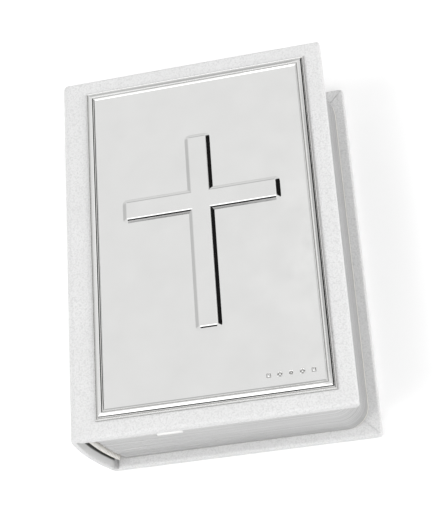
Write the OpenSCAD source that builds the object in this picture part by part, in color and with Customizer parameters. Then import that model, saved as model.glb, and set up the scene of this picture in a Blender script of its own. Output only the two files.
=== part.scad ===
// Pocket prayer book: a case-bound text block with a silver panel on its front cover.
// It lies on its back cover: +Z is up, +X runs from spine to fore-edge, +Y from tail to head.
// The origin is the middle of its footprint, on the surface that it lies on.

/* [Covers] */
// Height of the covers, tail to head
cover_h = 125; // [110:1:150]
// Width of each cover, spine edge to fore-edge
cover_w = 88; // [80:1:105]
// Thickness of the closed book, leather to leather
book_t = 36; // [28:0.5:40]
// Thickness of a finished cover
cover_t = 3.5; // [3.2:0.1:4]
// Thickness of the leather
leather_t = 0.7; // [0.5:0.1:0.9]
// Thickness of the turned-in leather and of the pastedown beside it
lining_t = 0.5; // [0.3:0.1:0.6]
// Radius of the covers' fore-edge corners
cover_corner_r = 2; // [1:0.5:4]
// Width of the leather turned in over the boards
turn_in_w = 12; // [10:1:16]
// How far the back cover sits further from the spine than the front cover
lean = 3; // [0:0.5:4]

/* [Spine] */
// How far the spine bulges past a straight line between the covers
spine_bulge = 1.3; // [0.5:0.1:2]
// Radius of the leather's roll from a cover on to the spine
roll_r = 3; // [2.5:0.1:3.2]
// Distance from a cover's spine edge to its board
joint_w = 4; // [3.8:0.1:5]
// Thickness of the card inside the spine leather
stiffener_t = 0.8; // [0.5:0.1:1]
// Depth of the head and tail bands, measured in from the spine
band_t = 1.8; // [1:0.1:2.2]
// Height of the head and tail bands
band_h = 3.5; // [2.5:0.5:5]

/* [Text block] */
// How far the covers stand past the pages
square_w = 3; // [2:0.5:4]
// Number of sewn sections
section_count = 12; // [8:1:16]
// Radius of the pages' fore-edge corners
page_corner_r = 7; // [4:0.5:10]
// Hollow of the fore-edge
fore_hollow = 0.8; // [0:0.1:1.5]
// Thickness of a single leaf
leaf_t = 0.15; // [0.1:0.05:0.2]
// Width of the ribbon marker
ribbon_w = 8; // [5:0.5:10]

/* [Silver panel] */
// Leather left bare on the panel's spine side
margin_spine = 8.6; // [6:0.1:12]
// Leather left bare on its fore-edge side
margin_fore = 5.5; // [4:0.1:8]
// Leather left bare at the head and at the tail
margin_ends = 5.25; // [4:0.05:8]
// Width of the moulding
mould_w = 3.4; // [3:0.1:5]
// Height of the panel's flat field above the leather
field_z = 0.9; // [0.7:0.1:1.2]
// Height of the cross above the field
cross_rise = 0.8; // [0.4:0.1:1.2]
// Width of the cross's bars
cross_bar_w = 8.3; // [6:0.1:10]
// Span of the cross's arms
cross_span = 51.2; // [40:0.1:56]
// Height of the cross
cross_h = 68.1; // [55:0.1:80]
// Height of the cross's foot above the cover's tail edge
cross_foot = 29.2; // [20:0.1:40]
// Height of its arms' middle above the cover's tail edge
cross_arm = 73.4; // [60:0.1:90]
// Size of a punch mark
mark_size = 1.5; // [1:0.1:2.5]

/* [Hidden] */
$fn = 48;
SECTIONS = [for (i = [1:section_count]) str("section_", i < 10 ? "0" : "", i)];

white_leather = "#ebeae8";
board_grey = "#a8a49c";
paper_cream = "#f0ece0";
silver = "#cfd2d4";
eps = 0.01;

// Clear gaps: between loose leaves, under the front cover, and over the back cover
leaf_gap = 0.15;
front_gap = 0.25;
back_gap = 0.2;
section_gap = 0.04;

// Spine-side edge of each cover, set so that the footprint is centred on X = 0
spine_chord = norm([lean, book_t - 2 * roll_r]);
spine_r = (pow(spine_chord / 2, 2) + pow(spine_bulge, 2)) / (2 * spine_bulge);
spine_in = spine_r - spine_bulge;
spine_c_from_edge = [lean / 2 + spine_in * (book_t - 2 * roll_r) / spine_chord,
                     book_t / 2 + spine_in * lean / spine_chord];
overhang = spine_r - spine_c_from_edge.x;
x_front = -(cover_w + lean - overhang) / 2;
x_back = x_front + lean;
spine_c = spine_c_from_edge + [x_front, 0];

// Height of each layer
z_front_in = book_t - cover_t;
board_t = cover_t - leather_t - lining_t;
z_fly = z_front_in - front_gap - leaf_t;
z_title = z_fly - leaf_gap - leaf_t;
z_top = z_title - 2 * leaf_gap - leaf_t;
z_back_fly = cover_t + back_gap;
z_first = z_back_fly + leaf_t + section_gap;
section_pitch = (z_top - z_first) / section_count;
page_h = cover_h - 2 * square_w;

// Distance of each spine layer from the spine's outer face, with room between mull and thread
in_card = leather_t;
in_turn = in_card + stiffener_t;
in_hollow = in_turn + leather_t;
in_band = in_hollow + 0.4;
in_lining = in_band + band_t;
in_mull = in_lining + 0.3;
in_thread = in_mull + 0.35;
in_pages = in_thread + 0.3;
spine_shell_low = cover_t + 0.5;
spine_shell_high = book_t - cover_t - 0.4;
joint_high = spine_shell_high + 0.05;
joint_low = spine_shell_low - 0.05;
leaf_x = x_front + 6.2;
title_x = leaf_x + 1;

// Places on the front cover
panel_x0 = x_front + margin_spine;
panel_x1 = x_front + cover_w - margin_fore;
panel_y0 = -cover_h / 2 + margin_ends;
panel_y1 = cover_h / 2 - margin_ends;
cross_x = (panel_x0 + panel_x1) / 2;
silver_t = 0.4;

// X of the spine's curve at height z, a distance inset from its outer face
function spine_x(z, inset) =
    spine_c.x - sqrt(pow(spine_r - inset, 2) - pow(z - spine_c.y, 2));
function spine_run(z0, z1, inset, n = 12) =
    [for (i = [0:n]) let (z = z0 + (z1 - z0) * i / n) [spine_x(z, inset), z]];
function arc_run(c, r, a0, a1, n = 8) =
    [for (i = [0:n]) let (a = a0 + (a1 - a0) * i / n) c + r * [cos(a), sin(a)]];
// X of the pages' fore-edge at height z
function fore_x(z) =
    let (u = (2 * z - book_t) / (z_top - z_first))
    x_front + cover_w - square_w + lean * (1 - z / book_t) - fore_hollow * max(0, 1 - u * u);

module along_y(y0, y1) {
    translate([0, y1, 0]) rotate([90, 0, 0]) linear_extrude(y1 - y0) children();
}
module along_x(x0, x1) {
    translate([x0, 0, 0]) rotate([90, 0, 90]) linear_extrude(x1 - x0) children();
}
module spine_layer(z0, z1, in0, in1, y0, y1) {
    along_y(y0, y1) polygon(concat(spine_run(z0, z1, in0), spine_run(z1, z0, in1)));
}
// A plate from the spine side to the fore-edge, with only its fore-edge corners rounded
module fore_rounded(x0, x1, half_h, r) {
    translate([x0, -half_h]) square([x1 - x0 - r, 2 * half_h]);
    translate([x0, r - half_h]) square([x1 - x0, 2 * (half_h - r)]);
    for (side = [-1, 1]) translate([x1 - r, side * (half_h - r)]) circle(r);
}
module box_between(a, b) {
    translate(a) cube(b - a);
}

// One cover's board and its leather, drawn with the outer face down at z = 0
module cover_board(x_edge) {
    translate([0, 0, leather_t])
        linear_extrude(board_t)
            fore_rounded(x_edge + joint_w, x_edge + cover_w - leather_t,
                         cover_h / 2 - leather_t, cover_corner_r - leather_t);
}
module lining_window(x_edge, grow) {
    box_between([x_edge + joint_w - eps, turn_in_w - cover_h / 2 - grow, cover_t - lining_t],
                [x_edge + cover_w - turn_in_w + grow, cover_h / 2 - turn_in_w + grow,
                 cover_t + grow]);
}
module cover_leather(x_edge) {
    difference() {
        linear_extrude(cover_t)
            fore_rounded(x_edge + joint_w, x_edge + cover_w, cover_h / 2, cover_corner_r);
        translate([0, 0, leather_t])
            linear_extrude(board_t)
                fore_rounded(x_edge + joint_w - eps, x_edge + cover_w - leather_t,
                             cover_h / 2 - leather_t, cover_corner_r - leather_t);
        lining_window(x_edge, eps);
    }
}
module cover_pastedown(x_edge) {
    box_between([x_edge + joint_w, turn_in_w - cover_h / 2 + eps, cover_t - lining_t],
                [x_edge + cover_w - turn_in_w - eps, cover_h / 2 - turn_in_w - eps, cover_t]);
}
// Turns a cover drawn outer face down into the front cover
module as_front() {
    translate([0, 0, book_t]) mirror([0, 0, 1]) children();
}

module back_board() { color(board_grey) cover_board(x_back); }
module back_leather() { color(white_leather) cover_leather(x_back); }
module back_pastedown() { color(paper_cream) cover_pastedown(x_back); }
module front_board() { color(board_grey) as_front() cover_board(x_front); }
module front_leather() { color(white_leather) as_front() cover_leather(x_front); }
module front_pastedown() { color(paper_cream) as_front() cover_pastedown(x_front); }

// The soft leather between the back cover and the spine
module back_joint_leather() {
    c = [x_back + roll_r, roll_r];
    color(white_leather)
        along_y(-cover_h / 2, cover_h / 2)
            polygon(concat(
                spine_run(joint_low, roll_r, 0, 2),
                arc_run(c, roll_r, 180, 270),
                [[x_back + joint_w - eps, 0], [x_back + joint_w - eps, leather_t]],
                arc_run(c, roll_r - leather_t, 270, 180),
                [[spine_x(joint_low, leather_t), joint_low]]));
}
// The soft leather between the front cover and the spine
module front_joint_leather() {
    c = [x_front + roll_r, book_t - roll_r];
    color(white_leather)
        along_y(-cover_h / 2, cover_h / 2)
            polygon(concat(
                spine_run(joint_high, c.y, 0, 2),
                arc_run(c, roll_r, 180, 90),
                [[x_front + joint_w - eps, book_t],
                 [x_front + joint_w - eps, book_t - leather_t]],
                arc_run(c, roll_r - leather_t, 90, 180),
                [[spine_x(joint_high, leather_t), joint_high]]));
}
// The spine leather, turned in over the ends of its card
module spine_leather() {
    turned = 10;
    color(white_leather) {
        spine_layer(spine_shell_low, spine_shell_high, 0, leather_t,
                    -cover_h / 2, cover_h / 2);
        for (side = [-1, 1]) {
            end = side * cover_h / 2;
            lip = end - side * leather_t;
            back = end - side * turned;
            spine_layer(spine_shell_low, spine_shell_high, leather_t - eps, in_hollow,
                        min(end, lip), max(end, lip));
            spine_layer(spine_shell_low, spine_shell_high, in_turn, in_hollow,
                        min(lip, back) - eps, max(lip, back) + eps);
        }
    }
}
module spine_stiffener() {
    color(board_grey)
        spine_layer(spine_shell_low, spine_shell_high, in_card, in_turn,
                    leather_t - cover_h / 2 + eps, cover_h / 2 - leather_t - eps);
}
module spine_lining() {
    color(paper_cream)
        spine_layer(z_first, z_top, in_lining, in_mull, -page_h / 2 + 1, page_h / 2 - 1);
}
module mull_cloth() {
    color("#dcd7cc")
        spine_layer(z_first, z_top, in_mull, in_mull + 0.3, -page_h / 2 + 3, page_h / 2 - 3);
}
// Stitches that link the sections' folds, in rows across the spine
module sewing_thread() {
    rows = 6;
    stitch_w = 0.8;
    color("ivory")
        for (i = [0:rows - 1]) {
            y = (i / (rows - 1) - 0.5) * (page_h - 24);
            spine_layer(z_first + section_pitch / 2, z_top - section_pitch / 2,
                        in_thread, in_pages, y - stitch_w / 2, y + stitch_w / 2);
        }
}
// A sewn band that closes the end of the block's spine
module end_band(y0, y1) {
    color("#e2e1dc") spine_layer(z_first, z_top, in_band, in_lining - eps, y0, y1);
}
module head_band() { end_band(page_h / 2 - band_h + 0.5, page_h / 2 + 0.5); }
module tail_band() { end_band(-page_h / 2 - 0.5, -page_h / 2 + band_h - 0.5); }

// One sewn section of folded leaves, with a round fold at the spine
module section(i) {
    z0 = z_first + (i - 1) * section_pitch;
    z1 = z0 + section_pitch - section_gap;
    fold_r = (z1 - z0) / 2;
    fold_x = max(spine_x(z0, in_pages), spine_x(z1, in_pages));
    color(i % 2 == 0 ? "#d6d2c4" : "#cfcabb") {
        translate([0, 0, z0])
            linear_extrude(z1 - z0)
                fore_rounded(fold_x + fold_r, fore_x((z0 + z1) / 2), page_h / 2, page_corner_r);
        translate([fold_x + fold_r, page_h / 2, (z0 + z1) / 2])
            rotate([90, 0, 0]) cylinder(h = page_h, r = fold_r);
    }
}
module loose_leaf(z, x0) {
    color(paper_cream)
        translate([0, 0, z])
            linear_extrude(leaf_t)
                fore_rounded(x0, fore_x(z), page_h / 2, page_corner_r);
}
module back_flyleaf() { loose_leaf(z_back_fly, x_back + 6.2); }
module title_leaf() { loose_leaf(z_title, title_x); }
module front_flyleaf() { loose_leaf(z_fly, leaf_x); }

// The ribbon starts at the head of the spine, crosses the first page and hangs out at the tail
module ribbon_marker() {
    head_x = leaf_x + 2;
    tail_x = x_front + 26;
    reach = page_h / 2 + 2.6;
    drop = 1.6;
    color("#f4f4f4") {
        translate([0, 0, z_top])
            linear_extrude(leaf_gap)
                polygon([[head_x, page_h / 2], [head_x + ribbon_w, page_h / 2],
                         [tail_x + ribbon_w, -reach], [tail_x, -reach]]);
        box_between([tail_x, -reach - 0.15, z_top - drop],
                    [tail_x + ribbon_w, -reach + eps, z_top + leaf_gap]);
    }
}

// Section of the moulding: distance in from the panel's edge, height above the leather.
// A thin outer step, a groove, a half-round ridge, a groove and an inner step.
function mould_section() = concat(
    [[0, 0], [0, 0.55], [0.15, 0.7], [0.5, 0.7], [0.65, 0.5]],
    arc_run([1.5, 0.75], 0.8, 180, 0, 12),
    [[2.45, 0.6], [2.6, field_z + 0.15], [3.1, field_z + 0.15], [mould_w, field_z],
     [mould_w, 0]]);

// The moulding along all four sides, mitred at the corners
module mould_frame() {
    panel_w = panel_x1 - panel_x0;
    panel_h = panel_y1 - panel_y0;
    for (turn = [0:3]) {
        run = turn % 2 == 0 ? panel_w : panel_h;
        deep = turn % 2 == 0 ? panel_h : panel_w;
        translate([cross_x, 0, book_t])
            rotate([0, 0, 90 * turn])
                intersection() {
                    translate([-run / 2, -deep / 2, 0])
                        rotate([90, 0, 90]) linear_extrude(run) polygon(mould_section());
                    linear_extrude(3)
                        polygon([[-run / 2, -deep / 2], [run / 2, -deep / 2],
                                 [run / 2 - 5, 5 - deep / 2], [5 - run / 2, 5 - deep / 2]]);
                }
    }
}
// A bar with sloping sides and ends, from its outline at z0 to a smaller one at z1
module sloped_bar(x0, x1, y0, y1, z0, z1, slope) {
    intersection() {
        along_y(y0, y1) polygon([[x0, z0], [x1, z0], [x1 - slope, z1], [x0 + slope, z1]]);
        along_x(x0, x1) polygon([[y0, z0], [y1, z0], [y1 - slope, z1], [y0 + slope, z1]]);
    }
}
module raised_cross(inset, z0, z1, slope) {
    half_bar = cross_bar_w / 2 - inset;
    y_foot = cross_foot - cover_h / 2;
    y_arm = cross_arm - cover_h / 2;
    sloped_bar(cross_x - half_bar, cross_x + half_bar,
               y_foot + inset, y_foot + cross_h - inset, z0, z1, slope);
    sloped_bar(cross_x - cross_span / 2 + inset, cross_x + cross_span / 2 - inset,
               y_arm - half_bar, y_arm + half_bar, z0, z1, slope);
}
// Filler under the silver, which keeps the raised cross from denting
module panel_filler() {
    z_in = book_t + field_z - silver_t;
    box_between([panel_x0 + mould_w, panel_y0 + mould_w, book_t],
                [panel_x1 - mould_w, panel_y1 - mould_w, z_in]);
    raised_cross(silver_t, z_in - eps, z_in + cross_rise, cross_rise);
}
module panel_backing() { color("#b89b72") panel_filler(); }

// Five plain punch marks: round, square and diamond, with no picture or letter
module punch_marks() {
    pitch = 3.4;
    deep = 0.12;
    for (i = [0:4])
        translate([panel_x1 - mould_w - 3 - i * pitch, panel_y0 + mould_w + 3.4,
                   book_t + field_z - deep])
            rotate([0, 0, i % 2 == 0 ? 0 : 45])
                linear_extrude(1)
                    if (i == 2) circle(d = mark_size);
                    else square(mark_size * 0.85, center = true);
}
// One sheet of silver, pressed into a moulded frame, a flat field and a raised cross
module silver_panel() {
    z_field = book_t + field_z;
    color(silver)
        difference() {
            union() {
                mould_frame();
                box_between([panel_x0 + mould_w - eps, panel_y0 + mould_w - eps, book_t],
                            [panel_x1 - mould_w + eps, panel_y1 - mould_w + eps, z_field]);
                raised_cross(0, z_field - eps, z_field + cross_rise, cross_rise);
            }
            panel_filler();
            punch_marks();
        }
}

back_board();
back_leather();
back_pastedown();
back_joint_leather();
spine_leather();
spine_stiffener();
spine_lining();
mull_cloth();
sewing_thread();
head_band();
tail_band();
back_flyleaf();
title_leaf();
front_flyleaf();
ribbon_marker();
front_board();
front_leather();
front_pastedown();
front_joint_leather();
panel_backing();
silver_panel();
for (i = [1:section_count])
    section(i);
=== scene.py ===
from math import cos, hypot, pi, radians, sin, sqrt

import bmesh
import bpy
from mathutils import Matrix, Vector


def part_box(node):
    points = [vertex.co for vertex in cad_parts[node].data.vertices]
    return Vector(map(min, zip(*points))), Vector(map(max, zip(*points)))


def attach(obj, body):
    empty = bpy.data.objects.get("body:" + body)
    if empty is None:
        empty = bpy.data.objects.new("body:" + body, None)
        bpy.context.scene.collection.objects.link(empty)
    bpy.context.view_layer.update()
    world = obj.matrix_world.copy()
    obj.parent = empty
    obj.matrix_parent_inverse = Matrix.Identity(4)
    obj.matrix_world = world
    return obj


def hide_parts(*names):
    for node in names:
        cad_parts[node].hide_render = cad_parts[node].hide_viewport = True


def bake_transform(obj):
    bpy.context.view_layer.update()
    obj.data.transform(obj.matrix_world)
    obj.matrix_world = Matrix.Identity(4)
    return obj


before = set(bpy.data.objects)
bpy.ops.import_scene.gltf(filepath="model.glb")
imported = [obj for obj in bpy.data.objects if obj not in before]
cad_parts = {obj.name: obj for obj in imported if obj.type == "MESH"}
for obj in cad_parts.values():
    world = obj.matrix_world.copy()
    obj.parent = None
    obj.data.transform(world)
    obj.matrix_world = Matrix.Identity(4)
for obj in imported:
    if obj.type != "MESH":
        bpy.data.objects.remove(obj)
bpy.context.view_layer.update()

# ---- Camera -------------------------------------------------------------------------
# A long lens above the tail and fore-edge side of the closed book, turned so that the
# book stands upright in the frame and leans a little to the right.
azimuth, elevation, roll = radians(22.96), radians(63.12), radians(-29.41)
camera_place = Vector((0.0817, -0.1924, 0.4253))
to_camera = Vector((sin(azimuth) * cos(elevation), -cos(azimuth) * cos(elevation),
                    sin(elevation)))
level = Vector((0, 0, 1)).cross(to_camera).normalized()
rise = to_camera.cross(level)
camera_right = level * cos(roll) + rise * sin(roll)
camera_up = rise * cos(roll) - level * sin(roll)
camera = bpy.data.objects.new("camera", bpy.data.cameras.new("camera"))
bpy.context.scene.collection.objects.link(camera)
camera.matrix_world = Matrix.Translation(camera_place) @ Matrix(
    (camera_right, camera_up, to_camera)).transposed().to_4x4()
camera.data.sensor_width = 36
camera.data.lens = 97.32
camera.data.clip_start = 0.01
bpy.context.scene.camera = camera
bpy.context.scene.view_settings.view_transform = "Standard"
bpy.context.scene.view_settings.look = "None"


# ---- Studio -------------------------------------------------------------------------
# A white laminate table in a pale grey room, lit by three soft boxes that the silver
# doesn't mirror. It mirrors the room and the bright, grey and dark round patches on it,
# which draw the edges of the moulding and the cross.
def linear(hex_colour):
    """A #RRGGBB sRGB colour as the linear RGBA that a shader takes."""
    parts = [int(hex_colour[i:i + 2], 16) / 255 for i in (1, 3, 5)]
    return (*[p / 12.92 if p <= 0.04045 else ((p + 0.055) / 1.055) ** 2.4 for p in parts], 1)


def add_node(tree, kind, sockets=None, **settings):
    """A node of that kind. A socket takes a number, a colour or another node's output."""
    node = tree.nodes.new("ShaderNode" + kind)
    for name, value in settings.items():
        setattr(node, name, value)
    for key, value in (sockets or {}).items():
        if isinstance(value, bpy.types.NodeSocket):
            tree.links.new(value, node.inputs[key])
        else:
            node.inputs[key].default_value = value
    return node


def new_material(name):
    """An empty material, its node tree and its output's surface socket."""
    material = bpy.data.materials.new(name)
    material.use_nodes = True
    material.node_tree.nodes.clear()
    output = add_node(material.node_tree, "OutputMaterial")
    return material, material.node_tree, output.inputs["Surface"]


table_white, tree, surface = new_material("white_laminate")
place = add_node(tree, "TexCoord").outputs["Object"]
speckle = add_node(tree, "TexNoise", {"Vector": place, "Scale": 40, "Detail": 3})
tone = add_node(tree, "Mix", {0: speckle.outputs["Fac"], 6: linear("#FCFCFC"),
                              7: linear("#FFFFFF")}, data_type="RGBA")
shader = add_node(tree, "BsdfPrincipled", {"Base Color": tone.outputs[2], "Roughness": 0.7,
                                           "Specular IOR Level": 0.2})
tree.links.new(shader.outputs[0], surface)

# In metres, with its top a tenth of a millimetre under the book
table_half_w, table_drop = 3, 0.0001
bm = bmesh.new()
bmesh.ops.create_grid(bm, x_segments=1, y_segments=1, size=table_half_w)
table_mesh = bpy.data.meshes.new("table")
bm.to_mesh(table_mesh)
bm.free()
table_mesh.materials.append(table_white)
table = bpy.data.objects.new("table", table_mesh)
bpy.context.scene.collection.objects.link(table)
table.location.z = -table_drop

room = bpy.data.worlds.new("white_room")
bpy.context.scene.world = room
room.use_nodes = True
tree = room.node_tree
tree.nodes.clear()
look = add_node(tree, "TexCoord").outputs["Generated"]
above = add_node(tree, "VectorMath", {0: look, 1: (0, 0, 1)}, operation="DOT_PRODUCT")
ceiling = add_node(tree, "MapRange", {"Value": above.outputs["Value"], "From Min": 0.3,
                                      "From Max": 0.75, "To Min": 0, "To Max": 1})
paint = add_node(tree, "Mix", {0: ceiling.outputs[0], 6: (0.76, 0.76, 0.76, 1),
                               7: (0.84, 0.84, 0.84, 1)}, data_type="RGBA").outputs[2]
# Each patch: its direction, the cosines of its outer and its full radius, its brightness
for aim, start, full, light in (((-0.18, 0.80, 0.57), 0.962, 0.985, 0.5),
                                ((-0.84, 0.42, 0.34), 0.94, 0.975, 0.58),
                                ((-0.18, -0.09, 0.98), 0.972, 0.985, 1.7),
                                ((-0.18, -0.48, 0.86), 0.984, 0.991, 0.01),
                                ((0.01, 0.42, 0.91), 0.994, 0.997, 1.5),
                                ((0.19, 0.42, 0.88), 0.99, 0.995, 0.5),
                                ((0.72, 0.42, 0.56), 0.89, 0.915, 0.01)):
    toward = add_node(tree, "VectorMath", {0: look, 1: Vector(aim).normalized()},
                      operation="DOT_PRODUCT")
    patch = add_node(tree, "MapRange", {"Value": toward.outputs["Value"], "From Min": start,
                                        "From Max": full, "To Min": 0, "To Max": 1})
    paint = add_node(tree, "Mix", {0: patch.outputs[0], 6: paint, 7: (light, light, light, 1)},
                     data_type="RGBA").outputs[2]
glow = add_node(tree, "Background", {"Color": paint, "Strength": 1.0})
add_node(tree, "OutputWorld", {"Surface": glow.outputs[0]})

soft_box_w = 0.6
for name, where, power in (("key_soft_box", (-0.75, -0.25, 0.95), 5.2),
                           ("fill_soft_box", (0.5, -0.65, 0.9), 3.2),
                           ("side_soft_box", (1.1, 0.1, 0.42), 5.5)):
    lamp = bpy.data.objects.new(name, bpy.data.lights.new(name, "AREA"))
    bpy.context.scene.collection.objects.link(lamp)
    lamp.data.size = soft_box_w
    lamp.data.energy = power
    lamp.visible_glossy = False
    lamp.location = where
    lamp.rotation_euler = (-Vector(where)).to_track_quat("-Z", "Y").to_euler()


# ---- Leather case -------------------------------------------------------------------
# One sheet of white fine-grained leather, glued over both boards and the spine, turned in and
# mitred at the corners. Two pieces stand for it, each shaped round its own joint.
# They meet at the foot of the spine.
cover_w, cover_h, cover_t = 88, 125, 3.5
book_t, lean, roll_r, spine_bulge, joint_w = 36, 3, 3, 1.3, 4
leather_t, turn_in_w, spine_shell_t = 0.45, 12, 1.75
corner_r, outer_edge_r, inner_edge_r = 1.1, 1.2, 0.7
mitre_w, mitre_depth = 0.45, 0.4
# How far a point may lie from a line or a plane and still be on it
hair = 0.01


def box_mm(node):
    """A CAD node's lowest and highest corner in millimetres."""
    return [corner * 1000 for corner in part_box(node)]


def bevel_edges(bm, edges, radius, segments, clamp=True):
    """Rounds edges to a radius in millimetres."""
    bmesh.ops.bevel(bm, geom=edges, offset=radius, offset_type="OFFSET", affect="EDGES",
                    segments=segments, profile=0.5, material=-1, clamp_overlap=clamp)


def extrude_rim(bm, rim):
    """Extrudes a row of edges in place. Gives the new points, their edges and the faces."""
    made = bmesh.ops.extrude_edge_only(bm, edges=rim)["geom"]
    points = [g for g in made if isinstance(g, bmesh.types.BMVert)]
    faces = [g for g in made if isinstance(g, bmesh.types.BMFace)]
    ends = set(points)
    edges = [g for g in made if isinstance(g, bmesh.types.BMEdge) and ends.issuperset(g.verts)]
    return points, edges, faces


def build_piece(bm, name, material):
    """Turns a mesh drawn in millimetres into a piece of the scene."""
    bmesh.ops.scale(bm, vec=(0.001, 0.001, 0.001), verts=bm.verts)
    mesh = bpy.data.meshes.new(name)
    bm.to_mesh(mesh)
    bm.free()
    mesh.materials.append(material)
    mesh.shade_smooth()
    piece = bpy.data.objects.new(name, mesh)
    bpy.context.scene.collection.objects.link(piece)
    return piece


def add_thickness(piece, thickness, even=True):
    """Gives a sheet its thickness inwards. Even keeps it exact at folds, but spikes where
    a joint bends."""
    shell = piece.modifiers.new("thickness", "SOLIDIFY")
    shell.thickness = thickness / 1000
    shell.offset = -1
    shell.use_even_offset = even
    weighted_normals(piece)


def weighted_normals(piece):
    """Shades flat faces flat and rounded edges smoothly, and leaves sharp edges crisp."""
    normals = piece.modifiers.new("normals", "WEIGHTED_NORMAL")
    normals.weight = 80
    normals.keep_sharp = True


# Fine-grained corrected leather, printed with a close pebble and sealed with a satin
# finish. The eye sees a soft broken sheen and faint shadow in the valleys.
white_leather, tree, surface = new_material("corrected_grain_leather")
place = add_node(tree, "TexCoord").outputs["Object"]
warp = add_node(tree, "TexNoise", {"Vector": place, "Scale": 900, "Detail": 2})
bent = add_node(tree, "VectorMath", {0: warp.outputs["Color"], 1: (0.001, 0.001, 0.001)},
                operation="MULTIPLY")
moved = add_node(tree, "VectorMath", {0: place, 1: bent.outputs[0]}, operation="ADD")
# The pebbles are 0.45 mm across and rounded, with pores 0.15 mm apart over them.
pebble = add_node(tree, "TexVoronoi", {"Vector": moved.outputs[0], "Scale": 2200},
                  feature="SMOOTH_F1")
valley = add_node(tree, "MapRange", {"Value": pebble.outputs["Distance"], "From Min": 0.25,
                                     "From Max": 0.75, "To Min": 1, "To Max": 0},
                  interpolation_type="SMOOTHSTEP")
pore = add_node(tree, "TexNoise", {"Vector": place, "Scale": 6500, "Detail": 3})
cloud = add_node(tree, "TexNoise", {"Vector": place, "Scale": 55, "Detail": 4})
height = add_node(tree, "Math", {0: valley.outputs[0], 1: pore.outputs["Fac"]}, operation="ADD")
grain = add_node(tree, "Bump", {"Strength": 0.45, "Distance": 0.00012,
                                "Height": height.outputs[0]})
drape = add_node(tree, "Bump", {"Strength": 0.35, "Distance": 0.0012,
                                "Height": cloud.outputs["Fac"], "Normal": grain.outputs[0]})
# The valleys between the pebbles are painted darker: painted shade, on top of the bump's own
# shading.
valley_shaded_tone = add_node(tree, "Mix", {0: valley.outputs[0], 6: linear("#CACACA"), 7: linear("#DADADA")},
                data_type="RGBA")
patch = add_node(tree, "MapRange", {"Value": cloud.outputs["Fac"], "From Min": 0.35,
                                    "From Max": 0.7, "To Min": 0, "To Max": 0.35})
aged = add_node(tree, "Mix", {0: patch.outputs[0], 6: valley_shaded_tone.outputs[2], 7: linear("#D0D0D0")},
                data_type="RGBA")
sheen = add_node(tree, "MapRange", {"Value": valley.outputs[0], "To Min": 0.62, "To Max": 0.46})
shader = add_node(tree, "BsdfPrincipled", {
    "Base Color": aged.outputs[2], "Roughness": sheen.outputs[0], "IOR": 1.5,
    "Specular IOR Level": 0.4, "Normal": drape.outputs[0]})
tree.links.new(shader.outputs[0], surface)

# Grey pulp card, which lines the spine inside. Its near-black colour is painted shade: it darkens
# the hollow strip beside the bands, where shade falls. The leather is turned in over its last 2.5
# to 3 mm, in the leather's own colour.
painted_shade_card, tree, surface = new_material("dark_card_painted_shade")
place = add_node(tree, "TexCoord").outputs["Object"]
chaff = add_node(tree, "TexNoise", {"Vector": place, "Scale": 900, "Detail": 5,
                                    "Distortion": 1.5})
# Painted shade: this card tone is much darker than the binder's board, to stand for the shadow in
# the spine's hollow.
card = add_node(tree, "Mix", {0: chaff.outputs["Fac"], 6: linear("#3A3A39"), 7: linear("#565553")},
                data_type="RGBA")
places = add_node(tree, "SeparateXYZ", {0: place})
from_middle = add_node(tree, "Math", {0: places.outputs["Y"]}, operation="ABSOLUTE")
turned_in = add_node(tree, "MapRange", {"Value": from_middle.outputs[0], "From Min": 0.0595,
                                        "From Max": 0.06})
seen = add_node(tree, "Mix", {0: turned_in.outputs[0], 6: card.outputs[2], 7: linear("#D6D6D6")},
                data_type="RGBA")
nap = add_node(tree, "Bump", {"Strength": 0.3, "Distance": 0.00008,
                              "Height": chaff.outputs["Fac"]})
shader = add_node(tree, "BsdfPrincipled", {"Base Color": seen.outputs[2], "Roughness": 0.92,
                                           "Normal": nap.outputs[0]})
tree.links.new(shader.outputs[0], surface)

# Places shared by the case and what is glued in it
x_front = box_mm("front_leather")[0].x - joint_w
x_back = box_mm("back_leather")[0].x - joint_w
spine_chord = hypot(lean, book_t - 2 * roll_r)
spine_r = ((spine_chord / 2) ** 2 + spine_bulge ** 2) / (2 * spine_bulge)
spine_in = spine_r - spine_bulge
spine_middle = Vector((x_front + lean / 2 + spine_in * (book_t - 2 * roll_r) / spine_chord,
                       0, book_t / 2 + spine_in * lean / spine_chord))


def spine_point(z, inset=0):
    """A point of the spine's curve at height z, a distance inset from its outer face."""
    reach = sqrt((spine_r - inset) ** 2 - (z - spine_middle.z) ** 2)
    return Vector((spine_middle.x - reach, 0, z))


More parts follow.
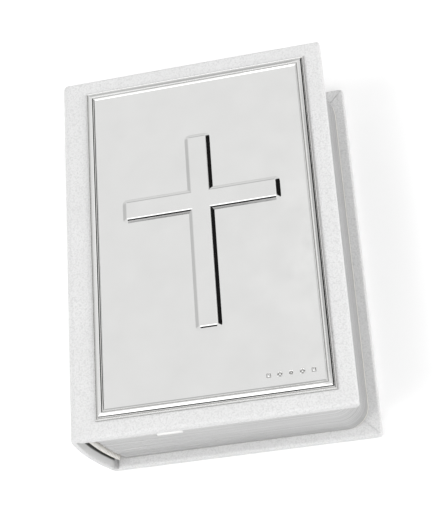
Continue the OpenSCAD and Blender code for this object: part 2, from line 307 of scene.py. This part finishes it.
def case_part(name, x_edge, z_out, side):
    """A cover and its joint. Side is 1 for the front one, which has the spine too, and -1
    for the back one."""
    x0, x1 = x_edge + joint_w, x_edge + cover_w
    bm = bmesh.new()
    bmesh.ops.create_cube(bm, size=1)
    bmesh.ops.scale(bm, vec=(x1 - x0, cover_h, cover_t), verts=bm.verts)
    bmesh.ops.translate(bm, vec=((x0 + x1) / 2, 0, z_out - side * cover_t / 2), verts=bm.verts)
    z_in = z_out - side * cover_t
    bevel_edges(bm, [e for e in bm.edges if all(v.co.x > x1 - hair for v in e.verts)
                     and abs(e.verts[0].co.y - e.verts[1].co.y) < hair], corner_r, 5)
    for z, radius, segments in ((z_out, outer_edge_r, 4), (z_in, inner_edge_r, 3)):
        bevel_edges(bm, [e for e in bm.edges if all(abs(v.co.z - z) < hair for v in e.verts)
                         and any(v.co.x > x0 + hair for v in e.verts)], radius, segments)
    bmesh.ops.delete(bm, geom=[f for f in bm.faces if all(v.co.x < x0 + hair for v in f.verts)],
                     context="FACES_ONLY")
    # The inner face is cut into turned-in strips, with a mitre at each fore-edge corner,
    # and what lies between the strips is taken away for the pastedown.
    reach_x, reach_y = x1 - turn_in_w, cover_h / 2 - turn_in_w

    def inner_faces():
        return [f for f in bm.faces if all(abs(v.co.z - z_in) < hair for v in f.verts)]

    def cut(faces, point, across):
        around = list({g for f in faces for g in (*f.verts, *f.edges)})
        bmesh.ops.bisect_plane(bm, geom=faces + around, plane_co=point, plane_no=across)

    def on_mitre(v):
        return (v.co.x > reach_x - hair and abs(v.co.z - z_in) < hair
                and abs((v.co.x - reach_x) - (abs(v.co.y) - reach_y)) < 2 * hair)

    for point, across in (((reach_x, 0, 0), (1, 0, 0)), ((0, reach_y, 0), (0, 1, 0)),
                          ((0, -reach_y, 0), (0, 1, 0))):
        cut(inner_faces(), point, across)
    for way in (1, -1):
        corner = [f for f in inner_faces() if f.calc_center_median().x > reach_x
                  and f.calc_center_median().y * way > reach_y]
        cut(corner, (reach_x, way * reach_y, 0), (1, -way, 0))
    bmesh.ops.delete(bm, context="FACES", geom=[
        f for f in inner_faces() if f.calc_center_median().x < reach_x
        and abs(f.calc_center_median().y) < reach_y])
    bevel_edges(bm, [e for e in bm.edges if all(on_mitre(v) for v in e.verts)
                     and e.calc_length() > 2], mitre_w, 2, clamp=False)
    for v in bm.verts:
        if on_mitre(v):
            v.co.z += side * mitre_depth
    # The sheet runs on from the board, over the joint and, at the front, round the spine.
    # Its two layers draw together over the joint's first four steps.
    joint_steps, thinning_steps, spine_steps = 10, 4, 20
    depth = bm.verts.layers.float.new("depth")
    for v in bm.verts:
        v[depth] = side * (z_out - v.co.z) / cover_t
    turn = Vector((x_edge + roll_r, 0, z_out - side * roll_r))
    stations = []
    for i in range(1, joint_steps + 1):
        angle = pi / 2 * i / joint_steps
        away = Vector((-sin(angle), 0, side * cos(angle)))
        t = min(i / thinning_steps, 1)
        thick = cover_t + (spine_shell_t - cover_t) * t * t * (3 - 2 * t)
        stations.append((turn + away * roll_r, -away, thick))
    if side > 0:
        for i in range(1, spine_steps + 1):
            at = spine_point(turn.z + (2 * roll_r - book_t) * i / spine_steps)
            stations.append((at, (spine_middle - at).normalized(), spine_shell_t))
    rim = [e for e in bm.edges if e.is_boundary and all(v.co.x < x0 + hair for v in e.verts)]
    for step, (at, inward, thick) in enumerate(stations):
        points, rim, faces = extrude_rim(bm, rim)
        for v in points:
            y = v.co.y
            v.co = at + inward * v[depth] * thick
            v.co.y = y
        for f in faces:
            f.material_index = step >= joint_steps
    bmesh.ops.remove_doubles(bm, verts=bm.verts, dist=0.001)
    bmesh.ops.recalc_face_normals(bm, faces=bm.faces)
    outer = max(bm.faces, key=lambda f: f.calc_area())
    if outer.normal.z * side < 0:
        bmesh.ops.reverse_faces(bm, faces=bm.faces)
    # Only the spine's inner layer gets the dark card, whose colour is painted shade.
    for f in bm.faces:
        f.material_index = f.material_index and min(v[depth] for v in f.verts) > 0.99
    piece = build_piece(bm, name, white_leather)
    piece.data.materials.append(painted_shade_card)
    add_thickness(piece, leather_t, even=False)
    return piece


front_case = case_part("front_case_leather", x_front, book_t, 1)
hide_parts("front_leather", "front_joint_leather", "spine_leather")
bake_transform(front_case)
back_case = case_part("back_case_leather", x_back, 0, -1)
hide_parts("back_leather", "back_joint_leather")
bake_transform(back_case)


# ---- Boards -------------------------------------------------------------------------
# Grey binder's board inside each cover and a thinner card inside the spine, cut from
# pressed pulp sheet and glued to the leather. Only their CAD shapes are needed.
def dress(material, *names):
    """Gives CAD nodes their finish."""
    for name in names:
        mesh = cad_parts[name].data
        mesh.materials.clear()
        mesh.materials.append(material)


# Pressed grey pulp: the eye sees short fibres and darker flecks of old print.
grey_board, tree, surface = new_material("binders_board")
place = add_node(tree, "TexCoord").outputs["Object"]
fibre = add_node(tree, "TexNoise", {"Vector": place, "Scale": 700, "Detail": 5, "Distortion": 2})
fleck = add_node(tree, "TexVoronoi", {"Vector": place, "Scale": 420})
dark = add_node(tree, "MapRange", {"Value": fleck.outputs["Distance"], "From Min": 0.05,
                                   "From Max": 0.12, "To Min": 0.5, "To Max": 0})
pulp = add_node(tree, "Mix", {0: fibre.outputs["Fac"], 6: linear("#8F8A80"), 7: linear("#B5B0A6")},
                data_type="RGBA")
mixed = add_node(tree, "Mix", {0: dark.outputs[0], 6: pulp.outputs[2], 7: linear("#6E6A62")},
                 data_type="RGBA")
rough = add_node(tree, "Bump", {"Strength": 0.4, "Distance": 0.0001,
                                "Height": fibre.outputs["Fac"]})
shader = add_node(tree, "BsdfPrincipled", {"Base Color": mixed.outputs[2], "Roughness": 0.9,
                                           "Normal": rough.outputs[0]})
tree.links.new(shader.outputs[0], surface)
dress(grey_board, "front_board", "back_board", "spine_stiffener")


# ---- Endpapers and loose leaves -----------------------------------------------------
# Smooth off-white wove paper, pasted to the inside of each board and left free as the
# first and last leaves. The free leaves' edges carry the same silver as the block.

# Wove paper: the eye sees a faint cloudy formation and, close up, its fibres.
wove_paper, tree, surface = new_material("wove_endpaper")
place = add_node(tree, "TexCoord").outputs["Object"]
formation = add_node(tree, "TexNoise", {"Vector": place, "Scale": 220, "Detail": 6})
fibre = add_node(tree, "TexNoise", {"Vector": place, "Scale": 2600, "Detail": 3,
                                    "Distortion": 1.5})
sheet = add_node(tree, "Mix", {0: formation.outputs["Fac"], 6: linear("#EDEBE4"),
                               7: linear("#F6F4EE")}, data_type="RGBA")
tooth = add_node(tree, "Bump", {"Strength": 0.25, "Distance": 0.00005,
                                "Height": fibre.outputs["Fac"]})
# The leaves' thin edges are silvered like the block's.
facing = add_node(tree, "TexCoord").outputs["Normal"]
upright = add_node(tree, "VectorMath", {0: facing, 1: (0, 0, 1)}, operation="DOT_PRODUCT")
flat = add_node(tree, "Math", {0: upright.outputs["Value"]}, operation="ABSOLUTE")
silvered = add_node(tree, "MapRange", {"Value": flat.outputs[0], "From Min": 0.4, "From Max": 0.6,
                                       "To Min": 0.7, "To Max": 0})
edged = add_node(tree, "Mix", {0: silvered.outputs[0], 6: sheet.outputs[2], 7: linear("#A9A9A9")},
                 data_type="RGBA")
shader = add_node(tree, "BsdfPrincipled", {
    "Base Color": edged.outputs[2], "Metallic": silvered.outputs[0], "Roughness": 0.7,
    "Specular IOR Level": 0.3, "Normal": tooth.outputs[0]})
tree.links.new(shader.outputs[0], surface)
dress(wove_paper, "front_pastedown", "back_pastedown", "front_flyleaf", "title_leaf",
      "back_flyleaf")


# ---- Sewn sections ------------------------------------------------------------------
# Thin paper folded into twelve sections and sewn through the folds. The block is cut
# with rounded fore-edge corners and a slightly hollow fore-edge, then its edges are
# burnished with silver leaf. Its pages are the same paper as the endpapers.
section_names = sorted(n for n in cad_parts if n.startswith("section_"))
page_corner_r, fold_r, pressed_r = 7, 1.0, 0.035
# Each is drawn this much higher, which takes up the air between sections.
air = 0.035

# Silver leaf on page edges: a satin grey metal, broken into fine lines by the leaves.
silver_edge, tree, surface = new_material("silver_leafed_paper")
place = add_node(tree, "TexCoord").outputs["Object"]
# Leaves are 0.08 mm thick; the lines are drawn about 0.3 mm apart so that they show.
along = add_node(tree, "Mapping", {"Vector": place, "Scale": (14, 14, 3300)})
leaves = add_node(tree, "TexNoise", {"Vector": along.outputs[0], "Scale": 1, "Detail": 3,
                                     "Roughness": 0.65})
wide = add_node(tree, "Mapping", {"Vector": place, "Scale": (25, 25, 700)})
groups = add_node(tree, "TexNoise", {"Vector": wide.outputs[0], "Scale": 1, "Detail": 2})
spread = add_node(tree, "MapRange", {"Value": leaves.outputs["Fac"], "From Min": 0.32,
                                     "From Max": 0.68})
bunch = add_node(tree, "MapRange", {"Value": groups.outputs["Fac"], "From Min": 0.35,
                                    "From Max": 0.65, "To Min": 0, "To Max": 0.5})
leaf_tone = add_node(tree, "Mix", {0: spread.outputs[0], 6: linear("#A9A9A9"),
                                   7: linear("#D3D3D3")}, data_type="RGBA")
edge_tone = add_node(tree, "Mix", {0: bunch.outputs[0], 6: leaf_tone.outputs[2],
                                   7: linear("#BDBDBD")}, data_type="RGBA")
lines = add_node(tree, "Bump", {"Strength": 0.5, "Distance": 0.00012,
                                "Height": spread.outputs[0]})
dull = add_node(tree, "MapRange", {"Value": spread.outputs[0], "To Min": 0.5, "To Max": 0.34})
shader = add_node(tree, "BsdfPrincipled", {
    "Base Color": edge_tone.outputs[2], "Metallic": 0.7, "Roughness": dull.outputs[0],
    "Normal": lines.outputs[0]})
tree.links.new(shader.outputs[0], surface)

section_boxes = [box_mm(n) for n in section_names]
reaches = [high.x for low, high in section_boxes]
for i, name in enumerate(section_names):
    low, high = section_boxes[i]
    under = reaches[max(i - 1, 0)]
    over = reaches[min(i + 1, len(reaches) - 1)]
    bm = bmesh.new()
    bmesh.ops.create_cube(bm, size=1)
    bmesh.ops.scale(bm, vec=high - low + Vector((0, 0, air)), verts=bm.verts)
    bmesh.ops.translate(bm, vec=(low + high) / 2, verts=bm.verts)
    # The fore-edge slopes so that it meets the next sections', in one shallow hollow.
    for v in bm.verts:
        if v.co.x > 0:
            v.co.x = (reaches[i] + (over if v.co.z > (low.z + high.z) / 2 else under)) / 2
    bevel_edges(bm, [e for e in bm.edges if abs(e.verts[0].co.z - e.verts[1].co.z) > 1
                     and all(v.co.x > 0 for v in e.verts)], page_corner_r, 12)
    bevel_edges(bm, [e for e in bm.edges if all(v.co.x < low.x + hair for v in e.verts)
                     and abs(e.verts[0].co.z - e.verts[1].co.z) < hair], fold_r, 5)
    # Each section's outer leaves are pressed a hair rounder, so the sections read apart.
    bevel_edges(bm, [e for e in bm.edges if abs(e.verts[0].co.z - e.verts[1].co.z) < hair
                     and e.calc_face_angle(0) > 1.2
                     and max(v.co.x for v in e.verts) > low.x + 1.5], pressed_r, 2)
    # Only the cut edges are silvered: the first and last page are plain paper.
    for f in bm.faces:
        f.material_index = abs(f.normal.z) > 0.99
    pages = build_piece(bm, name.replace("section", "pages"), silver_edge)
    pages.data.materials.append(wove_paper)
    weighted_normals(pages)
    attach(pages, "text_block")
    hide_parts(name)


# ---- Spine's cloth, lining and thread -----------------------------------------------
# Linen thread links the sections' folds. Open starched cotton, called mull, is glued
# over it, and brown paper over that. They are hidden, and keep their CAD shapes.

# Mull: the eye sees an open square weave. Its threads are drawn 1.8 mm apart, about twice
# too coarse.
mull, tree, surface = new_material("starched_mull")
place = add_node(tree, "TexCoord").outputs["Object"]
warp_threads = add_node(tree, "TexWave", {"Vector": place, "Scale": 175, "Distortion": 0.4},
                        bands_direction="Y")
weft_threads = add_node(tree, "TexWave", {"Vector": place, "Scale": 175, "Distortion": 0.4},
                        bands_direction="Z")
weave = add_node(tree, "Math", {0: warp_threads.outputs["Fac"], 1: weft_threads.outputs["Fac"]},
                 operation="MAXIMUM")
cotton = add_node(tree, "Mix", {0: weave.outputs[0], 6: linear("#A79F8E"), 7: linear("#DDD6C6")},
                  data_type="RGBA")
raised = add_node(tree, "Bump", {"Strength": 0.6, "Distance": 0.0002, "Height": weave.outputs[0]})
shader = add_node(tree, "BsdfPrincipled", {"Base Color": cotton.outputs[2], "Roughness": 0.9,
                                           "Normal": raised.outputs[0]})
tree.links.new(shader.outputs[0], surface)
dress(mull, "mull_cloth")

# Kraft paper pasted over the cloth: the eye sees brown fibres and faint stripes, drawn
# 2.4 mm apart, about twice too coarse.
kraft, tree, surface = new_material("kraft_lining_paper")
place = add_node(tree, "TexCoord").outputs["Object"]
laid = add_node(tree, "TexWave", {"Vector": place, "Scale": 130, "Distortion": 1.5, "Detail": 2},
                bands_direction="Y")
strands = add_node(tree, "TexNoise", {"Vector": place, "Scale": 1500, "Detail": 4,
                                      "Distortion": 1.2})
stripe = add_node(tree, "Math", {0: laid.outputs["Fac"], 1: strands.outputs["Fac"]},
                  operation="MULTIPLY")
brown = add_node(tree, "Mix", {0: stripe.outputs[0], 6: linear("#6E5A45"), 7: linear("#8C7459")},
                 data_type="RGBA")
fuzz = add_node(tree, "Bump", {"Strength": 0.3, "Distance": 0.00006,
                               "Height": strands.outputs["Fac"]})
shader = add_node(tree, "BsdfPrincipled", {"Base Color": brown.outputs[2], "Roughness": 0.85,
                                           "Normal": fuzz.outputs[0]})
tree.links.new(shader.outputs[0], surface)
dress(kraft, "spine_lining")

# Waxed linen thread: the eye sees a slanting twist, drawn 1.4 mm from ply to ply, about
# twice too coarse.
linen, tree, surface = new_material("waxed_linen_thread")
place = add_node(tree, "TexCoord").outputs["Object"]
ply = add_node(tree, "TexWave", {"Vector": place, "Scale": 260, "Distortion": 0.2},
               bands_direction="DIAGONAL")
flax = add_node(tree, "Mix", {0: ply.outputs["Fac"], 6: linear("#B9AE97"), 7: linear("#EAE2CF")},
                data_type="RGBA")
twist = add_node(tree, "Bump", {"Strength": 0.7, "Distance": 0.0001, "Height": ply.outputs["Fac"]})
shader = add_node(tree, "BsdfPrincipled", {"Base Color": flax.outputs[2], "Roughness": 0.6,
                                           "Normal": twist.outputs[0]})
tree.links.new(shader.outputs[0], surface)
dress(linen, "sewing_thread")


# ---- Head and tail bands ------------------------------------------------------------
# A short cord wrapped in white silk, glued over each end of the block's spine. It
# follows the spine's curve and closes the gap between the leather and the pages.
band_inset, band_half_t, rib_pitch, rib_steps = 3.55, 0.8, 1.1, 4

# Wrapped silk: the eye sees rows of thread across the cord, with a soft lustre.
silk, tree, surface = new_material("wrapped_silk")
place = add_node(tree, "TexCoord").outputs["Object"]
# Threads are drawn 0.9 mm apart, about four times too coarse, so that they show.
wraps = add_node(tree, "TexWave", {"Vector": place, "Scale": 350, "Distortion": 0.3, "Detail": 1},
                 bands_direction="Z")
thread = add_node(tree, "Mix", {0: wraps.outputs["Fac"], 6: linear("#C9C7C1"),
                                7: linear("#EFEDE8")}, data_type="RGBA")
ridge = add_node(tree, "Bump", {"Strength": 0.6, "Distance": 0.0001,
                                "Height": wraps.outputs["Fac"]})
shader = add_node(tree, "BsdfPrincipled", {
    "Base Color": thread.outputs[2], "Roughness": 0.45, "Sheen Weight": 0.3,
    "Normal": ridge.outputs[0]})
tree.links.new(shader.outputs[0], surface)

for name in ("head_band", "tail_band"):
    low, high = box_mm(name)
    y_mid, half_h = (low.y + high.y) / 2, (high.y - low.y) / 2
    stations = round((high.z - low.z) / rib_pitch) * rib_steps
    bm = bmesh.new()
    bmesh.ops.create_circle(bm, segments=14, radius=1)
    across = bm.verts.layers.float.new("across")
    beside = bm.verts.layers.float.new("beside")
    for v in bm.verts:
        v[across], v[beside] = v.co.x, v.co.y
    ring_points, ring = list(bm.verts), list(bm.edges)
    for i in range(stations + 1):
        if i:
            ring_points, ring, _ = extrude_rim(bm, ring)
        z = low.z + (high.z - low.z) * i / stations
        at = spine_point(z, band_inset)
        inward = (spine_middle - at).normalized()
        # The cord is a tenth thinner between ribs.
        rib = 1 - 0.1 * (0.5 + 0.5 * cos(2 * pi * i / rib_steps))
        for v in ring_points:
            v.co = at + inward * v[across] * band_half_t * rib
            v.co.y = y_mid + v[beside] * half_h * (0.9 + 0.1 * rib)
    bmesh.ops.holes_fill(bm, edges=[e for e in bm.edges if e.is_boundary])
    bmesh.ops.recalc_face_normals(bm, faces=bm.faces)
    band = build_piece(bm, "silk_" + name, silk)
    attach(band, "text_block")
    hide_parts(name)


# ---- Ribbon marker ------------------------------------------------------------------
# A white satin ribbon glued behind the head band. It crosses the first page, comes out
# at the tail and bends down over the edges of the pages.
ribbon_w, ribbon_t, slack = 8, 0.12, 0.02
# How far in from the spine it lies at the head and at the tail
head_in, tail_in = 8.2, 26
# How far it runs out past the pages, how it bends down, hangs and stands off from them
past_pages, bend_r, hang, splay = 1.3, 1.1, 0.6, 0.15

# Double-faced satin: the eye sees fine threads along it and a bright soft sheen.
satin, tree, surface = new_material("white_satin_ribbon")
own = add_node(tree, "UVMap", uv_map="ribbon").outputs[0]
# Threads are drawn 0.4 mm apart across the 8 mm width, about four times too coarse.
threads = add_node(tree, "TexWave", {"Vector": own, "Scale": 3.2, "Distortion": 0.5, "Detail": 2},
                   bands_direction="X")
gloss = add_node(tree, "Mix", {0: threads.outputs["Fac"], 6: linear("#ECECEA"),
                               7: linear("#FBFBFA")}, data_type="RGBA")
rows = add_node(tree, "Bump", {"Strength": 0.25, "Distance": 0.00005,
                               "Height": threads.outputs["Fac"]})
shader = add_node(tree, "BsdfPrincipled", {
    "Base Color": gloss.outputs[2], "Roughness": 0.32, "Sheen Weight": 0.4,
    "Normal": rows.outputs[0]})
tree.links.new(shader.outputs[0], surface)

low, high = box_mm("ribbon_marker")
top_z = high.z - ribbon_t / 2 - slack
tail_x = x_front + tail_in
head_x = x_front + head_in
page_end = section_boxes[-1][0].y
straight = high.y - page_end + past_pages
bend = bend_r * pi / 2
length = straight + bend + hang
bm = bmesh.new()
uv = bm.loops.layers.uv.new("ribbon")
bmesh.ops.create_grid(bm, x_segments=8, y_segments=120, size=0.5)
for f in bm.faces:
    for loop in f.loops:
        loop[uv].uv = ((loop.vert.co.x + 0.5) * 2, (loop.vert.co.y + 0.5) * length / 4)
for v in bm.verts:
    run = (0.5 - v.co.y) * length
    share = min(run / straight, 1)
    x = head_x + (tail_x - head_x) * share + ribbon_w * (v.co.x + 0.5)
    if run <= straight:
        y, z = high.y - run, top_z
    elif run <= straight + bend:
        angle = (run - straight) / bend_r
        y, z = high.y - straight - bend_r * sin(angle), top_z - bend_r * (1 - cos(angle))
    else:
        below = run - straight - bend
        y = high.y - straight - bend_r - splay * below
        z = top_z - bend_r - below
    v.co = (x, y, z)
bmesh.ops.recalc_face_normals(bm, faces=bm.faces)
ribbon = build_piece(bm, "satin_ribbon", satin)
shell = ribbon.modifiers.new("thickness", "SOLIDIFY")
shell.thickness = ribbon_t / 1000
shell.offset = 0
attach(ribbon, "text_block")
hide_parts("ribbon_marker")


# ---- Filler under the silver --------------------------------------------------------
# A thin limewood panel with a raised cross, glued to the leather. It fills the pressed
# silver from behind, so that it doesn't dent, and nothing of it shows.

# Planed limewood: the eye sees straight fine growth lines, about 1.7 mm apart.
limewood, tree, surface = new_material("planed_limewood")
place = add_node(tree, "TexCoord").outputs["Object"]
growth = add_node(tree, "Mapping", {"Vector": place, "Scale": (600, 40, 600)})
rings = add_node(tree, "TexNoise", {"Vector": growth.outputs[0], "Scale": 1, "Detail": 5})
wood = add_node(tree, "Mix", {0: rings.outputs["Fac"], 6: linear("#A68660"), 7: linear("#D8BC92")},
                data_type="RGBA")
pits = add_node(tree, "Bump", {"Strength": 0.3, "Distance": 0.00008,
                               "Height": rings.outputs["Fac"]})
shader = add_node(tree, "BsdfPrincipled", {"Base Color": wood.outputs[2], "Roughness": 0.65,
                                           "Normal": pits.outputs[0]})
tree.links.new(shader.outputs[0], surface)
dress(limewood, "panel_backing")


# ---- Silver panel -------------------------------------------------------------------
# One sheet of silver, pressed over a former into a moulded frame, a flat field and a
# raised cross, then polished and fixed to the front cover. The cross is drawn as a shell
# of its own. Five plain punch marks stand near the panel's lower corner.
cross_bar_w, cross_span, cross_h, cross_foot, cross_arm = 8.3, 51.2, 68.1, 29.2, 73.4
cross_corner_r, cross_sunk = 1.6, 0.1
mould_w, field_z, sheet_t, mark_size, mark_pitch, mark_in = 3.4, 0.9, 0.3, 1.5, 3.4, 3
low, high = box_mm("silver_panel")
panel_mid = (low.x + high.x) / 2
field_x0, field_x1 = low.x + mould_w, high.x - mould_w
field_y0, field_y1 = low.y + mould_w, high.y - mould_w
z_skin, z_field = book_t, book_t + field_z
foot_y, arm_y = cross_foot - cover_h / 2, cross_arm - cover_h / 2
marks = [(high.x - mould_w - mark_in - mark_pitch * i, low.y + mould_w + mark_pitch)
         for i in range(5)]

# Polished sterling silver: the eye sees a clear pale mirror, dulled a little by fine
# hand-polishing lines and by the slight unevenness of pressed sheet.
sterling, tree, surface = new_material("polished_sterling_silver")
place = add_node(tree, "TexCoord").outputs["Object"]
swell = add_node(tree, "TexNoise", {"Vector": place, "Scale": 26, "Detail": 1})
brush = add_node(tree, "Mapping", {"Vector": place, "Scale": (500, 5200, 500)})
polish = add_node(tree, "TexNoise", {"Vector": brush.outputs[0], "Scale": 1, "Detail": 3})
haze = add_node(tree, "TexNoise", {"Vector": place, "Scale": 120, "Detail": 5})
dulled = add_node(tree, "MapRange", {"Value": haze.outputs["Fac"], "From Min": 0.3,
                                     "From Max": 0.7, "To Min": 0.07, "To Max": 0.13})
tint = add_node(tree, "Mix", {0: haze.outputs["Fac"], 6: linear("#EDEDEC"), 7: linear("#F6F6F5")},
                data_type="RGBA")
uneven = add_node(tree, "Bump", {"Strength": 0.03, "Distance": 0.0003,
                                 "Height": swell.outputs["Fac"]})
wiped = add_node(tree, "Bump", {"Strength": 0.12, "Distance": 0.00002,
                                "Height": polish.outputs["Fac"], "Normal": uneven.outputs[0]})
# Painted shade: the grooves and punch marks are painted dark grey and made rougher, to stand for
# the dark lines that they show.
painted_shade_fac = add_node(tree, "Attribute", attribute_name="painted_shade").outputs["Fac"]
shaded_tint = add_node(tree, "Mix", {0: painted_shade_fac, 6: tint.outputs[2], 7: linear("#77756F")},
                data_type="RGBA")
matt = add_node(tree, "Math", {0: painted_shade_fac, 1: 0.3, 2: dulled.outputs[0]}, operation="MULTIPLY_ADD")
shader = add_node(tree, "BsdfPrincipled", {
    "Base Color": shaded_tint.outputs[2], "Metallic": 1, "Roughness": matt.outputs[0],
    "Normal": wiped.outputs[0]})
tree.links.new(shader.outputs[0], surface)

# The field, cut by a line along each side of each punch mark
half_mark = mark_size * 0.5
bm = bmesh.new()
# How much painted shade darkens each point of the silver
painted_shade = bm.verts.layers.float.new("painted_shade")
bmesh.ops.create_grid(bm, x_segments=1, y_segments=1, size=0.5)
bmesh.ops.scale(bm, vec=(field_x1 - field_x0, field_y1 - field_y0, 1), verts=bm.verts)
bmesh.ops.translate(bm, vec=(panel_mid, (field_y0 + field_y1) / 2, z_field), verts=bm.verts)
for x, y in marks:
    for way in (-1, 1):
        for across in ((1, 0, 0), (0, 1, 0)):
            bmesh.ops.bisect_plane(bm, geom=bm.verts[:] + bm.edges[:] + bm.faces[:], dist=0.001,
                                   plane_co=(x + way * half_mark, y + way * half_mark, 0),
                                   plane_no=across)
# The first, third and fifth are a square, a round and a square, and the others lozenges.
# Each is a sunk ring with a boss in it, in steps of (inwards, upwards, painted shade).
for i, (x, y) in enumerate(marks):
    die = [f for f in bm.faces
           if (f.calc_center_median() - Vector((x, y, z_field))).length < 0.1][0]
    bmesh.ops.inset_individual(bm, faces=[die], thickness=0.06, depth=0)
    middle = die.calc_center_median()
    if i % 2:
        bmesh.ops.rotate(bm, verts=die.verts, cent=middle,
                         matrix=Matrix.Rotation(radians(45), 3, "Z"))
        bmesh.ops.scale(bm, verts=die.verts, vec=(0.8, 0.8, 1),
                        space=Matrix.Translation(-middle))
    elif i == 2:
        bmesh.ops.subdivide_edges(bm, edges=die.edges, cuts=2)
        for v in die.verts:
            v.co = middle + (v.co - middle).normalized() * half_mark * 0.75
    for thickness, depth, shade_amount in ((0.14, -0.14, 0.8), (0.1, 0, 0.8), (0.12, 0.1, 0)):
        bmesh.ops.inset_individual(bm, faces=[die], thickness=thickness, depth=depth)
        for v in die.verts:
            v[painted_shade] = shade_amount

# From the field outwards: a sloping inner wall, a fine groove, a ridge with a broad bevel and a
# narrow one outside it, a groove, a thin bead and the edge on the leather, each as (outward,
# height) in mm and how much painted shade darkens it there.
profile = [(0.04, 0.902, 0), (0.1, 0.915, 0), (0.15, 0.93, 0), (0.38, 1.005, 0), (0.42, 1.02, 0),
           (0.62, 1.122, 0), (0.66, 1.13, 0), (0.76, 1.13, 0), (0.8, 1.11, 0.3), (0.85, 1.07, 0.7),
           (0.91, 1.07, 0.7), (0.96, 1.1, 0.3), (1.02, 1.17, 0), (1.1, 1.24, 0), (1.2, 1.28, 0),
           (1.36, 1.295, 0), (1.52, 1.285, 0), (2.2, 1.142, 0), (2.24, 1.13, 0),
           (2.56, 0.967, 0), (2.61, 0.93, 0), (2.67, 0.82, 0), (2.72, 0.7, 0.3), (2.79, 0.62, 0.6),
           (2.88, 0.61, 0.6), (2.95, 0.64, 0.2), (3.03, 0.68, 0), (3.13, 0.7, 0), (3.23, 0.67, 0),
           (3.32, 0.58, 0), (3.38, 0.44, 0.3), (3.4, 0.25, 0.8), (3.4, 0.0, 0.8)]
rim = [e for e in bm.edges if e.is_boundary]
for outward, height, shade_amount in profile:
    points, rim, _ = extrude_rim(bm, rim)
    for v in points:
        for axis, near, far in ((0, field_x0, field_x1), (1, field_y0, field_y1)):
            if v.co[axis] < near + 0.001:
                v.co[axis] = near - outward
            elif v.co[axis] > far - 0.001:
                v.co[axis] = far + outward
        v.co.z = z_skin + height
        v[painted_shade] = shade_amount

# The cross: one upright and two arms drawn as one outline, the corners of its four ends
# rounded. It starts a little inside the field, and is raised in steps of (inwards,
# upwards) mm: a wide slope and two flatter ones, with a narrow turn after each.
upright = bmesh.ops.create_grid(bm, x_segments=1, y_segments=3, size=0.5)["verts"]
levels = (foot_y, arm_y - cross_bar_w / 2, arm_y + cross_bar_w / 2, foot_y + cross_h)
for v in upright:
    v.co = (panel_mid + v.co.x * cross_bar_w, levels[round((v.co.y + 0.5) * 3)],
            z_field - cross_sunk)
for way in (-1, 1):
    side_edge = [e for e in bm.edges if all(v in upright for v in e.verts)
                 and all(abs(v.co.x - panel_mid - way * cross_bar_w / 2) < hair for v in e.verts)
                 and abs((e.verts[0].co.y + e.verts[1].co.y) / 2 - arm_y) < 0.1]
    arm_end = extrude_rim(bm, side_edge)[0]
    for v in arm_end:
        v.co.x = panel_mid + way * cross_span / 2
    upright += arm_end
corners = [v for v in upright if len(v.link_edges) == 2]
bmesh.ops.bevel(bm, geom=corners, offset=cross_corner_r, offset_type="OFFSET",
                affect="VERTICES", segments=5, profile=0.5, material=-1)
top = [f for f in bm.faces if all(abs(v.co.z - z_field + cross_sunk) < hair for v in f.verts)
       and f.calc_area() > 20]
bmesh.ops.recalc_face_normals(bm, faces=top)
if top[0].normal.z < 0:
    bmesh.ops.reverse_faces(bm, faces=top)
for inwards, upwards in ((0.001, cross_sunk), (0.04, 0.015), (0.62, 0.403), (0.04, 0.025),
                         (0.36, 0.2), (0.05, 0.022), (0.26, 0.08), (0.05, 0.01), (0.08, 0.002)):
    bmesh.ops.inset_region(bm, faces=top, thickness=inwards, depth=upwards,
                           use_boundary=True, use_even_offset=True)
# Mitres stay crisp: those of the moulding, and the cross's where its arms meet.
for e in bm.edges:
    slant = e.verts[0].co - e.verts[1].co
    outside = max(abs(v.co.x - panel_mid) for v in e.verts) > (field_x1 - field_x0) / 2 + hair
    if min(abs(slant.x), abs(slant.y)) > 0.005 and e.calc_face_angle(0) > 0.15:
        e.smooth = not (outside or not e.is_convex)
panel = build_piece(bm, "pressed_silver_panel", sterling)
add_thickness(panel, sheet_t)
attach(panel, "front_cover")
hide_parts("silver_panel")
